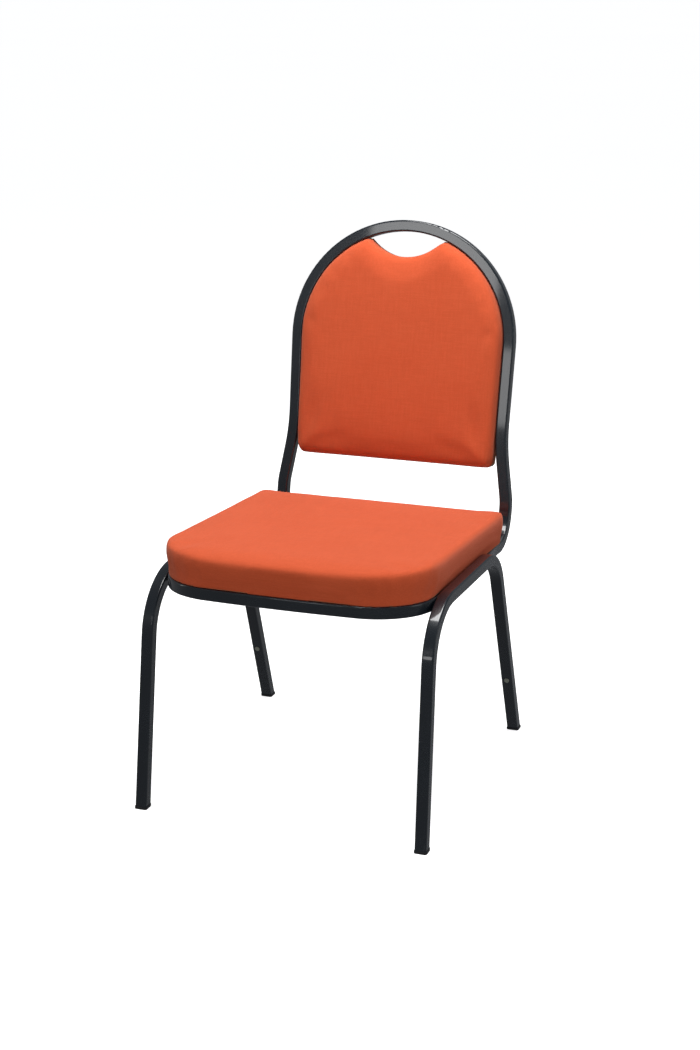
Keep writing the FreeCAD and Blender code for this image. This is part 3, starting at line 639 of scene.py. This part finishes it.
@dataclass
class Stuffed:
    """A stuffed piece: the CAD foam's outline, remeshed, blown up as cloth and shaped.

    Args:
        plane: The axes of the board behind the foam.
    """

    plane: Plane
    name: str = ""
    foam: str = ""
    cover: str = ""
    voxel: float = 5.0 * MM
    pressure: float = 4.0
    frames: int = 20
    cloth: float = 1.2 * MM
    calm: int = 4
    overlap: float = 0.0
    fall: float = 3.0
    fill: float = 1.0

    def __post_init__(self) -> None:
        """Measures the cover."""
        self.low, self.high = self.plane.box(self.cover)

    def blank(self) -> bpy.types.Object:
        """The foam's outline, drawn out past the cover's rear or lower face, and remeshed."""
        piece = Work.copy_of(self.foam, self.plane, self.name)
        points = points_of(piece)
        base = points[:, 2] < points[:, 2].min() + 0.1 * MM
        drop = self.low[2] - self.overlap - points[:, 2].min()
        Work.edit(piece, "VERT", base, "transform.translate", value=(0.0, 0.0, drop))
        Work.modify(piece, "REMESH", mode="VOXEL", voxel_size=self.voxel)
        return piece

    def dome(self, points: np.ndarray) -> np.ndarray:
        """1 in the middle of the padded face, falling to 0 at its edges."""
        middle = (self.low + self.high) / 2.0
        half = (self.high - self.low) / 2.0
        across = np.abs((points[:, 0] - middle[0]) / half[0])
        along = np.abs((points[:, 1] - middle[1]) / half[1])
        return np.clip(1.0 - across ** self.fall, 0.0, 1.0) * np.clip(1.0 - along ** self.fall, 0.0, 1.0)

    def held(self, points: np.ndarray) -> np.ndarray:
        """How firmly each point stays where it is, from 0 to 1."""
        raise NotImplementedError

    def allowance(self, points: np.ndarray) -> np.ndarray:
        """How far each point may move as the piece is blown up."""
        raise NotImplementedError

    def shaped(self, points: np.ndarray, normals: np.ndarray) -> np.ndarray:
        """The points after the crown, tucks and wrinkles are worked in."""
        raise NotImplementedError

    def blown_up(self, piece: bpy.types.Object) -> None:
        """Runs the cloth simulation and keeps its result, each point within its allowance."""
        start = points_of(piece)
        group = piece.vertex_groups.new(name="held")
        for index, weight in enumerate(self.held(start)):
            group.add([index], float(weight), "REPLACE")
        cloth = piece.modifiers.new("cloth", "CLOTH")
        for key, value in FABRIC.items():
            setattr(cloth.settings, key, value)
        cloth.settings.uniform_pressure_force = self.pressure
        cloth.settings.vertex_group_mass = group.name
        cloth.settings.effector_weights.gravity = 0.0
        cloth.point_cache.frame_start = 1
        cloth.point_cache.frame_end = self.frames
        for number in range(1, self.frames + 1):
            bpy.context.scene.frame_set(number)
        posed = piece.evaluated_get(bpy.context.evaluated_depsgraph_get())
        end = points_of(posed)
        piece.modifiers.remove(cloth)
        piece.vertex_groups.remove(group)
        bpy.context.scene.frame_set(1)
        move = end - start
        reach = np.linalg.norm(move, axis=1)
        allowed = self.allowance(start)
        share = np.where(reach > allowed, allowed / np.maximum(reach, 1e-9), 1.0)
        set_points(piece, start + move * share[:, None])
        self.relaxed(piece, 1.0 - self.held(start), self.calm)
        log.info("%s: the cloth moved %.1f mm at most, %.1f mm as kept", self.name, reach.max() / MM,
                 (reach * share).max() / MM)

    def relaxed(self, piece: bpy.types.Object, weights: np.ndarray, rounds: int) -> None:
        """Evens out the mesh where the weights say so.

        Args:
            piece: The piece.
            weights: One weight from 0 to 1 for each point.
            rounds: How often each point moves towards the middle of its neighbours.
        """
        ends = np.empty(len(piece.data.edges) * 2, dtype=np.int64)
        piece.data.edges.foreach_get("vertices", ends)
        ends = ends.reshape(-1, 2)
        count = np.zeros(len(weights))
        np.add.at(count, ends[:, 0], 1.0)
        np.add.at(count, ends[:, 1], 1.0)
        points = points_of(piece)
        for _ in range(rounds):
            total = np.zeros_like(points)
            np.add.at(total, ends[:, 0], points[ends[:, 1]])
            np.add.at(total, ends[:, 1], points[ends[:, 0]])
            middle = total / count[:, None]
            points += (middle - points) * (0.5 * weights[:, None])
        set_points(piece, points)

    def dress(self, piece: bpy.types.Object, cloth: Finish) -> None:
        """Puts the cloth on, parents the piece to the root body and hides the CAD nodes that it stands for."""
        settle(piece, cloth, "orange_fabric", self.cover, self.foam)

    def finished(self, piece: bpy.types.Object) -> bpy.types.Object:
        """Subdivides the piece once, shades it smooth and turns it to the chair's axes."""
        Work.modify(piece, "SUBSURF", levels=1, render_levels=1)
        Work.smooth(piece)
        piece.data.transform(self.plane.matrix)
        return piece


@dataclass
class SeatCushion(Stuffed):
    """The seat: a boxed cushion with a crowned top, full sides and a pulled-in lower edge."""

    name: str = "seat_cushion"
    foam: str = "seat_foam"
    cover: str = "seat_cover"
    overlap: float = 3.5 * MM
    bulge: float = 7.0 * MM
    bulge_span: tuple[float, float] = (0.12, 0.62)
    brim: float = 0.5
    brim_span: tuple[float, float] = (0.7, 1.0)
    raised: float = 8.0 * MM
    raised_span: tuple[float, float] = (0.6, 0.9)
    crown: float = 4.0 * MM
    side_swell: float = 2.0 * MM
    corner: float = 104.0 * MM
    pleat: float = 0.55 * MM
    pleats: int = 11
    hem_cover: float = 0.6 * MM
    edge_low: float = 20.0 * MM
    edge_high: float = 32.0 * MM
    edge_rounds: int = 5
    fill: float = 0.85

    def build(self) -> bpy.types.Object:
        """Models the cushion.

        Returns:
            The cushion, in the chair's axes.
        """
        piece = self.blank()
        points = points_of(piece)
        self.relaxed(piece, ramp(points[:, 2], self.low[2] + self.edge_low, self.low[2] + self.edge_high),
                     self.edge_rounds)
        set_points(piece, self.filled(points_of(piece), normals_of(piece)))
        self.blown_up(piece)
        set_points(piece, self.shaped(points_of(piece), normals_of(piece)))
        return self.finished(piece)

    def filled(self, points: np.ndarray, normals: np.ndarray) -> np.ndarray:
        """The points with the sides pushed out and the side edges of the top raised, as foam fills a cover."""
        height = (points[:, 2] - self.low[2]) / (self.high[2] - self.low[2])
        on_side = np.sqrt(np.clip(1.0 - normals[:, 2] ** 2, 0.0, 1.0))
        outward = normals[:, :2] / np.maximum(np.linalg.norm(normals[:, :2], axis=1), 1e-6)[:, None]
        growth = ramp(height, *self.bulge_span) * (1.0 + self.brim * ramp(height, *self.brim_span))
        moved = points.copy()
        moved[:, :2] += outward * (self.bulge * growth * on_side)[:, None]
        moved[:, 2] += self.raised * np.abs(normals[:, 0]) * ramp(height, *self.raised_span)
        return moved

    def held(self, points: np.ndarray) -> np.ndarray:
        """The underside and the tucked lower edge stay."""
        return 1.0 - ramp(points[:, 2], self.low[2] + 3.0 * MM, self.low[2] + 14.0 * MM)

    def allowance(self, points: np.ndarray) -> np.ndarray:
        """A few millimetres at the sides and the crown's height in the middle of the top."""
        on_top = ramp(points[:, 2], self.high[2] - 12.0 * MM, self.high[2] - 4.0 * MM)
        return self.side_swell + (self.crown * self.dome(points)) * on_top

    def shaped(self, points: np.ndarray, normals: np.ndarray) -> np.ndarray:
        height = (points[:, 2] - self.low[2]) / (self.high[2] - self.low[2])
        lifted = ramp(height, 0.0, 0.12)
        moved = points + normals * self.cloth
        outward = normals[:, :2] / np.maximum(np.linalg.norm(normals[:, :2], axis=1), 1e-6)[:, None]
        upright = 1.0 - np.abs(normals[:, 2])
        hem = ramp(height, -0.05, 0.04) * (1.0 - ramp(height, 0.15, 0.5)) * upright
        moved[:, :2] += outward * (self.hem_cover * hem)[:, None]
        centre_x = self.high[0] - self.corner
        centre_y = self.low[1] + self.corner
        angle = np.arctan2(centre_y - points[:, 1], np.abs(points[:, 0]) - centre_x)
        turn = math.pi / 2.0
        in_corner = ramp(angle, -0.25, 0.15) * (1.0 - ramp(angle, turn - 0.15, turn + 0.25))
        is_front = points[:, 1] < centre_y + 20.0 * MM
        on_side = ramp(height, 0.10, 0.30) * (1.0 - ramp(height, 0.55, 0.85)) * upright
        swing = unevenness(points, 45.0 * MM, 3)
        folds = np.sin(angle * self.pleats * 2.0 + swing * 1.5)
        moved += normals * (folds * in_corner * is_front * on_side * self.pleat)[:, None]
        soft = unevenness(points, 90.0 * MM, 1) * 0.5 + unevenness(points, 38.0 * MM, 2) * 0.22
        moved += normals * (soft * lifted * MM)[:, None]
        moved[:, 2] = np.maximum(moved[:, 2], self.low[2] + 0.15 * MM)
        return moved


@dataclass
class BackPad(Stuffed):
    """The back: a softly crowned pad with rounded, tucked edges and a scooped hand-hold."""

    name: str = "back_pad"
    foam: str = "back_foam"
    cover: str = "back_cover"
    overlap: float = 3.0 * MM
    crown: float = 4.0 * MM
    side_swell: float = 1.5 * MM
    fall: float = 2.5
    hem_depth: float = 6.2 * MM
    tube_reach: float = 10.0 * MM
    edge_rounds: int = 14
    fill: float = 0.8

    def __post_init__(self) -> None:
        """Measures the cover and the hoop's front face."""
        super().__post_init__()
        self.tube_front = self.low[2] + self.hem_depth + self.tube_reach

    def build(self, blank: bpy.types.Object) -> bpy.types.Object:
        """Models the pad from its blank.

        Returns:
            The pad, in the chair's axes.
        """
        points = points_of(blank)
        self.relaxed(blank, ramp(points[:, 2], self.tube_front - 4.0 * MM, self.tube_front + 6.0 * MM),
                     self.edge_rounds)
        self.blown_up(blank)
        set_points(blank, self.shaped(points_of(blank), normals_of(blank)))
        return self.finished(blank)

    def held(self, points: np.ndarray) -> np.ndarray:
        """Whatever lies within the hoop stays."""
        return 1.0 - ramp(points[:, 2], self.tube_front - 5.0 * MM, self.tube_front + 5.0 * MM)

    def allowance(self, points: np.ndarray) -> np.ndarray:
        """Little at the sides, more in the middle of the front."""
        in_front = ramp(points[:, 2], self.high[2] - 8.0 * MM, self.high[2] - 3.0 * MM)
        return self.side_swell + self.crown * self.dome(points) * in_front

    def shaped(self, points: np.ndarray, normals: np.ndarray) -> np.ndarray:
        front = ramp(points[:, 2], self.tube_front - 6.0 * MM, self.tube_front + 8.0 * MM)
        moved = points + normals * (self.cloth * (0.55 + 0.45 * front))[:, None]
        soft = unevenness(points, 80.0 * MM, 5) * 0.45 + unevenness(points, 34.0 * MM, 6) * 0.2
        moved += normals * (soft * front * MM)[:, None]
        moved[:, 2] = np.maximum(moved[:, 2], self.low[2] + 0.1 * MM)
        return moved


@dataclass
class RearCover:
    """Cloth pulled over the thin rear panel: the pad's own outline, pressed flat and faced to the rear.

    Args:
        plane: The axes of the panel, Z to the front.
    """

    plane: Plane
    name: str = "back_rear_cover_cloth"
    cover: str = "back_rear_cover"
    crown: float = 1.6 * MM

    def build(self, blank: bpy.types.Object) -> bpy.types.Object:
        """Models the cover from a copy of the pad's blank."""
        piece = Work.again(blank)
        piece.name = self.name
        piece.data.name = self.name
        low, high = self.plane.box(self.cover)
        points = points_of(piece)
        front, rear = points[:, 2].max(), points[:, 2].min()
        depth = (points[:, 2] - rear) / (front - rear)
        middle, half = (low + high) / 2.0, (high - low) / 2.0
        across = np.clip(1.0 - np.abs((points[:, 0] - middle[0]) / half[0]) ** 4.0, 0.0, 1.0)
        along = np.clip(1.0 - np.abs((points[:, 1] - middle[1]) / half[1]) ** 4.0, 0.0, 1.0)
        soft = 0.2 * MM * unevenness(points, 60.0 * MM, 8)
        proud = (self.crown * across * along + soft) * ramp(depth, 0.5, 1.0)
        points[:, 2] = high[2] - depth * (high[2] - low[2]) - proud
        set_points(piece, points)
        every_face = np.ones(len(piece.data.polygons))
        Work.edit(piece, "FACE", every_face, "mesh.normals_make_consistent", inside=False)
        Work.smooth(piece, 50.0)
        piece.data.transform(self.plane.matrix)
        return piece

    def dress(self, piece: bpy.types.Object, cloth: Finish) -> None:
        """Puts the cloth on, parents the cover to the root body and hides the CAD node that it stands for."""
        settle(piece, cloth, "orange_fabric", self.cover)


# ---------------------------------------------------------------- under the seat
@dataclass
class DustCover:
    """Thin cloth stretched under the seat and held by staples round its folded edge.

    Args:
        plane: The axes of the seat.
    """

    plane: Plane
    name: str = "seat_dust_cloth"
    node: str = "seat_dust_cover"
    corner: float = 78.0 * MM
    rear_corner: float = 6.0 * MM
    square: float = 8.0 * MM
    sag: float = 0.25 * MM
    staple_inset: float = 7.0 * MM
    staple_step: float = 42.0 * MM
    staple_size: tuple[float, float, float] = (11.0 * MM, 1.3 * MM, 0.55 * MM)
    staple_edge: float = 0.18 * MM
    staple_tip: float = 0.4 * MM
    staple_bite: float = 0.35 * MM
    staple_skew: float = 0.12

    def __post_init__(self) -> None:
        """Measures the CAD sheet."""
        self.low, self.high = self.plane.box(self.node)
        self.width = float(self.high[0] - self.low[0])
        self.length = float(self.high[1] - self.low[1])
        self.middle = (self.low + self.high) / 2.0
        self.thick = float(self.high[2] - self.low[2])

    def build(self) -> bpy.types.Object:
        """Models the sheet.

        Returns:
            The sheet, in the chair's axes.
        """
        cuts = (round(self.width / self.square), round(self.length / self.square))
        sheet = Work.grid(self.name, (self.width, self.length), cuts)
        points = points_of(sheet)
        half = np.array([self.width, self.length]) / 2.0
        for is_front, radius in ((True, self.corner), (False, self.rear_corner)):
            end = points[:, 1] < 0 if is_front else points[:, 1] >= 0
            reach = np.abs(points[:, :2]) - (half - radius)
            inside = end & (reach > 0).all(axis=1)
            distance = np.linalg.norm(reach, axis=1)
            far = np.maximum(reach.max(axis=1), 1e-9)
            pull = np.where(inside, far / np.maximum(distance, 1e-9), 1.0)
            keep = (half - radius) * np.sign(points[:, :2])
            points[inside, :2] = (keep + (points[:, :2] - keep) * pull[:, None])[inside]
        edge = np.minimum(half[0] - np.abs(points[:, 0]), half[1] - np.abs(points[:, 1]))
        slack = ramp(edge, 4.0 * MM, 40.0 * MM)
        ripple = unevenness(points, 30.0 * MM, 11) * 0.3 + unevenness(points, 90.0 * MM, 12) * 0.7
        points[:, 2] = -self.sag * slack * (1.0 + ripple)
        points += np.array([self.middle[0], self.middle[1], self.high[2] - 0.1 * MM])
        set_points(sheet, points)
        Work.modify(sheet, "SOLIDIFY", thickness=self.thick * 0.8, offset=-1.0)
        Work.smooth(sheet, 40.0)
        sheet.data.transform(self.plane.matrix)
        return sheet

    def cut_area(self) -> float:
        """Flat area of the sheet, its four corners rounded."""
        lost = (2.0 - math.pi / 2.0) * (self.corner ** 2 + self.rear_corner ** 2)
        return self.width * self.length - lost

    def dress(self, sheet: bpy.types.Object, cloth: Finish) -> None:
        """Puts the cloth on, parents the sheet to the root body and hides the CAD node that it stands for."""
        settle(sheet, cloth, "dust_cloth", self.node)
        self.cut_area()

    def staple_places(self) -> list[tuple[float, float, float]]:
        """Places and turns of the staples, evenly round the sheet's edge.

        Returns:
            Rows of X, Y and turn about Z, in the seat's axes.
        """
        half_x = self.width / 2.0 - self.staple_inset
        half_y = self.length / 2.0 - self.staple_inset
        radius = self.corner - self.staple_inset
        places = []
        for side in (-1.0, 1.0):
            run = 2.0 * half_y - radius
            count = round(run / self.staple_step)
            for index in range(count):
                along = half_y - (index + 0.5) * run / count
                places.append((side * half_x, along, math.pi / 2.0))
            for share in (0.25, 0.75):
                angle = share * math.pi / 2.0
                x = side * (half_x - radius + radius * math.cos(angle))
                y = -(half_y - radius + radius * math.sin(angle))
                places.append((x, y, side * -(math.pi / 2.0 - angle)))
        for end, reach in ((1.0, half_x), (-1.0, half_x - radius)):
            count = round(2.0 * reach / self.staple_step)
            for index in range(count):
                places.append((-reach + (index + 0.5) * 2.0 * reach / count, end * half_y, 0.0))
        return places

    def build_staples(self) -> bpy.types.Object:
        """Models one staple's crown and copies it round the sheet."""
        first = Work.cube("staple", self.staple_size)
        long_way = np.abs(np.array([(first.data.vertices[a].co - first.data.vertices[b].co).x
                                    for a, b in (edge.vertices for edge in first.data.edges)])) > 1.0 * MM
        Work.edit(first, "EDGE", long_way, "mesh.bevel", offset=self.staple_edge, segments=2)
        ends = np.abs(np.array([face.normal.x for face in first.data.polygons])) > 0.9
        Work.edit(first, "FACE", ends, "mesh.extrude_region_shrink_fatten",
                  TRANSFORM_OT_shrink_fatten={"value": self.staple_tip})
        points = points_of(first)
        tips = np.abs(points[:, 0]) > self.staple_size[0] / 2.0 + 0.1 * MM
        points[tips, 2] += self.staple_bite
        set_points(first, points)
        staples = []
        for x, y, turn in self.staple_places():
            copy = Work.again(first)
            skew = self.staple_skew * math.sin(len(staples) * 2.4)
            place = Matrix.Translation((self.middle[0] + x, self.middle[1] + y, self.low[2] - 0.15 * MM))
            copy.data.transform(self.plane.matrix @ place @ Matrix.Rotation(turn + skew, 4, "Z"))
            staples.append(copy)
        bpy.data.objects.remove(first)
        piece = Work.joined(staples, "seat_staples")
        Work.smooth(piece, 45.0)
        return piece


# ---------------------------------------------------------------- welds
@dataclass
class WeldBeads:
    """Hand-laid weld beads between the leg rails and the seat ring, rippled along their length."""

    name: str = "leg_weld_ripples"
    node: str = "leg_weld_beads"
    ripple: float = 2.3 * MM
    width: float = 5.4 * MM
    flare: float = 1.06
    end_girth: float = 0.75
    girth: float = 0.9
    wander: float = 0.08
    voxel: float = 0.55 * MM

    def runs(self) -> list[tuple[np.ndarray, np.ndarray]]:
        """The two ends of each CAD bead."""
        points = world_points(self.node)
        middle = points[:, 1].mean()
        ends = []
        for is_left in (True, False):
            for is_front in (True, False):
                chosen = points[((points[:, 0] > 0) == is_left) & ((points[:, 1] < middle) == is_front)]
                first = chosen[chosen[:, 1] < chosen[:, 1].min() + 0.5 * MM].mean(axis=0)
                last = chosen[chosen[:, 1] > chosen[:, 1].max() - 0.5 * MM].mean(axis=0)
                ends.append((first, last))
        return ends

    def build(self) -> bpy.types.Object:
        """Models the four beads as overlapping ripples run together."""
        scale = Work.ball("ripple", (self.width, 1.7 * self.ripple, self.width), 16)
        trailing = points_of(scale)[:, 1] > 0.3 * self.ripple
        Work.edit(scale, "VERT", trailing, "transform.resize", value=(self.flare, 1.0, self.flare))
        pieces = []
        for number, (first, last) in enumerate(self.runs()):
            length = float(np.linalg.norm(last - first))
            count = int(length / self.ripple)
            for index in range(count):
                share = (index + 0.5) / count
                copy = Work.again(scale)
                taper = self.end_girth if index in (0, count - 1) else 1.0
                girth = (self.girth + self.wander * math.sin(index * 2.1 + number)) * taper
                place = Vector(first + (last - first) * share)
                slope = math.atan2(last[2] - first[2], last[1] - first[1])
                copy.data.transform(Matrix.Translation(place) @ Matrix.Rotation(slope, 4, "X")
                                    @ Matrix.Diagonal((girth, 1.0, girth, 1.0)))
                pieces.append(copy)
        bpy.data.objects.remove(scale)
        piece = Work.joined(pieces, self.name)
        Work.modify(piece, "REMESH", mode="VOXEL", voxel_size=self.voxel)
        Work.modify(piece, "SMOOTH", factor=0.5, iterations=2)
        Work.smooth(piece)
        return piece


# ---------------------------------------------------------------- CAD pieces that stay
@dataclass
class Fittings:
    """Finishes for the CAD nodes that keep their own shape, by the material slots of the imported nodes."""

    finishes: dict[str, Finish] = field(default_factory=dict)

    def dress(self) -> None:
        """Gives each node the finish of its slot."""
        for name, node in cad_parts.items():
            slot = node.data.materials[0].name.split(".")[0] if node.data.materials else ""
            finish = self.finishes.get(slot)
            if finish:
                finish.on(node)
            else:
                log.warning("%s has the slot %r, which has no finish", name, slot)


# ---------------------------------------------------------------- studio
@dataclass
class Studio:
    """A pale floor, soft boxes and the camera."""

    camera_place: tuple[float, float, float] = (1.0790, -2.9371, 1.3366)
    camera_azimuth: float = 20.087
    camera_pitch: float = 16.272
    lens: float = 65.50
    sensor: float = 36.0
    floor_size: float = 400.0
    floor_glow: float = 0.86
    room: Colour = (0.17, 0.175, 0.185)

    def build_floor(self) -> None:
        """A wide pale floor that fills the camera's view."""
        floor = Work.grid("floor", (self.floor_size, self.floor_size), (8, 8))
        finish = Finish("pale_floor", Roughness=0.9, Specular_IOR_Level=0.0,
                        Emission_Strength=self.floor_glow)
        shade = finish.cloud(finish.place(), 5.0, 2.0)
        tone = finish.blend(shade, (0.80, 0.80, 0.80), (0.82, 0.82, 0.82))
        glow = finish.blend(shade, (0.99, 0.99, 0.99), (1.0, 1.0, 1.0))
        finish.feed(Base_Color=tone, Emission_Color=glow)
        finish.on(floor)
        floor.visible_diffuse = False
        floor.visible_glossy = False

    def build_lights(self) -> None:
        """An overhead soft box, weak boxes in front and at the sides, bounce cards and a dim room."""
        self.soft_box("overhead_box", (0.10, -0.14, 2.15), (0.0, -0.02, 0.45), (1.3, 0.75), 37.0)
        self.soft_box("tall_front_box", (-1.17, -3.55, 1.63), (0.0, 0.1, 0.85), (0.52, 0.46), 4.2)
        self.soft_box("low_front_box", (-0.84, -3.60, 1.08), (0.0, 0.1, 0.64), (0.32, 0.30), 1.3)
        self.soft_box("right_box", (2.8, 0.2, 1.1), (0.0, 0.0, 0.45), (0.9, 1.8), 6.0)
        self.soft_box("left_strip", (-3.0, -0.9, 0.9), (0.0, 0.0, 0.45), (0.35, 1.7), 5.0)
        self.soft_box("low_bounce_card", (0.5, -1.5, 0.05), (0.1, -0.2, 0.42), (1.6, 0.5), 6.5, False)
        self.soft_box("right_card", (2.2, -0.3, 0.5), (0.0, 0.0, 0.43), (1.2, 0.8), 5.0, False)
        self.soft_box("rear_card", (-0.4, 2.6, 1.2), (0.0, 0.2, 0.6), (1.6, 1.0), 22.0, False)
        world = bpy.data.worlds.new("room")
        world.use_nodes = True
        world.node_tree.nodes["Background"].inputs["Color"].default_value = (*self.room, 1.0)
        bpy.context.scene.world = world

    @staticmethod
    def soft_box(name: str, place: tuple[float, float, float], target: tuple[float, float, float],
                 size: tuple[float, float], power: float, mirrored: bool = True) -> None:
        """Adds a rectangular light that looks at a point.

        Args:
            name: Name of the light.
            place: Where it stands.
            target: What it looks at.
            size: Its width and height.
            power: Its power in watts.
            mirrored: Whether the paint mirrors it.
        """
        lamp = bpy.data.lights.new(name, "AREA")
        lamp.shape = "RECTANGLE"
        lamp.size, lamp.size_y = size
        lamp.energy = power
        stand = bpy.data.objects.new(name, lamp)
        stand.location = place
        stand.visible_glossy = mirrored
        stand.rotation_euler = (Vector(target) - Vector(place)).to_track_quat("-Z", "Y").to_euler()
        bpy.context.scene.collection.objects.link(stand)

    def build_camera(self) -> None:
        """The camera, in front of the chair and to its left-hand side."""
        data = bpy.data.cameras.new("camera")
        data.lens = self.lens
        data.sensor_width = self.sensor
        data.sensor_fit = "AUTO"
        data.clip_end = 2.0 * self.floor_size
        camera = bpy.data.objects.new("camera", data)
        camera.location = self.camera_place
        camera.rotation_euler = (math.radians(90.0 - self.camera_pitch), 0.0,
                                 math.radians(self.camera_azimuth))
        bpy.context.scene.collection.objects.link(camera)
        bpy.context.scene.camera = camera

    def build(self) -> None:
        """Sets the whole studio up."""
        self.build_floor()
        self.build_lights()
        self.build_camera()
        bpy.context.scene.view_settings.view_transform = "Standard"
        bpy.context.scene.view_settings.look = "None"


def main() -> None:
    """Builds every sub-assembly, then the studio."""
    logging.basicConfig(level=logging.INFO, format="%(name)s: %(message)s")
    seat_plane = Plane.of_plate("seat_dust_cover", Facing.UP)
    back_plane = Plane.of_plate("back_rear_panel", Facing.FORWARD)
    log.info("seat slopes %.2f degrees, back plane turns %.2f", math.degrees(seat_plane.tilt),
             math.degrees(back_plane.tilt))

    paint = Enamel().make()
    plate = ZincPlate().make()
    seat_cloth = WovenCloth("seat_orange_cloth", seat_plane).make()
    back_cloth = WovenCloth("back_orange_cloth", back_plane).make()
    dust_cloth = FeltedCloth().make()
    Fittings({
        "painted_frame": paint,
        "orange_fabric": back_cloth,
        "foam": Foam().make(),
        "plywood": Plywood(back_plane).make(),
        "dust_cloth": dust_cloth,
        "glide_plastic": Moulded("glide_plastic", (0.01, 0.01, 0.011), (0.02, 0.02, 0.022), 0.42).make(),
        "bumper_plastic": Moulded("bumper_plastic", (0.20, 0.21, 0.17), (0.30, 0.31, 0.26), 0.50).make(),
        "clip_plastic": Moulded("clip_plastic", (0.55, 0.54, 0.48), (0.70, 0.69, 0.63), 0.45).make(),
        "zinc_steel": plate,
    }).dress()

    cushion = SeatCushion(seat_plane)
    seat = cushion.build()
    cushion.dress(seat, seat_cloth)
    log.info("%s has %d faces", seat.name, len(seat.data.polygons))

    pad = BackPad(back_plane)
    blank = pad.blank()
    rear = RearCover(back_plane)
    lining = rear.build(blank)
    rear.dress(lining, back_cloth)
    back = pad.build(blank)
    pad.dress(back, back_cloth)
    log.info("%s has %d faces, %s has %d", back.name, len(back.data.polygons), lining.name,
             len(lining.data.polygons))

    under = DustCover(seat_plane)
    sheet = under.build()
    under.dress(sheet, dust_cloth)
    staples = under.build_staples()
    settle(staples, plate, "zinc_steel")
    log.info("%s and %d staples", sheet.name, len(under.staple_places()))

    beads = WeldBeads()
    ripples = beads.build()
    settle(ripples, paint, "painted_frame", beads.node)
    log.info("%s has %d faces", ripples.name, len(ripples.data.polygons))

    Studio().build()


if __name__ == "__main__":
    main()
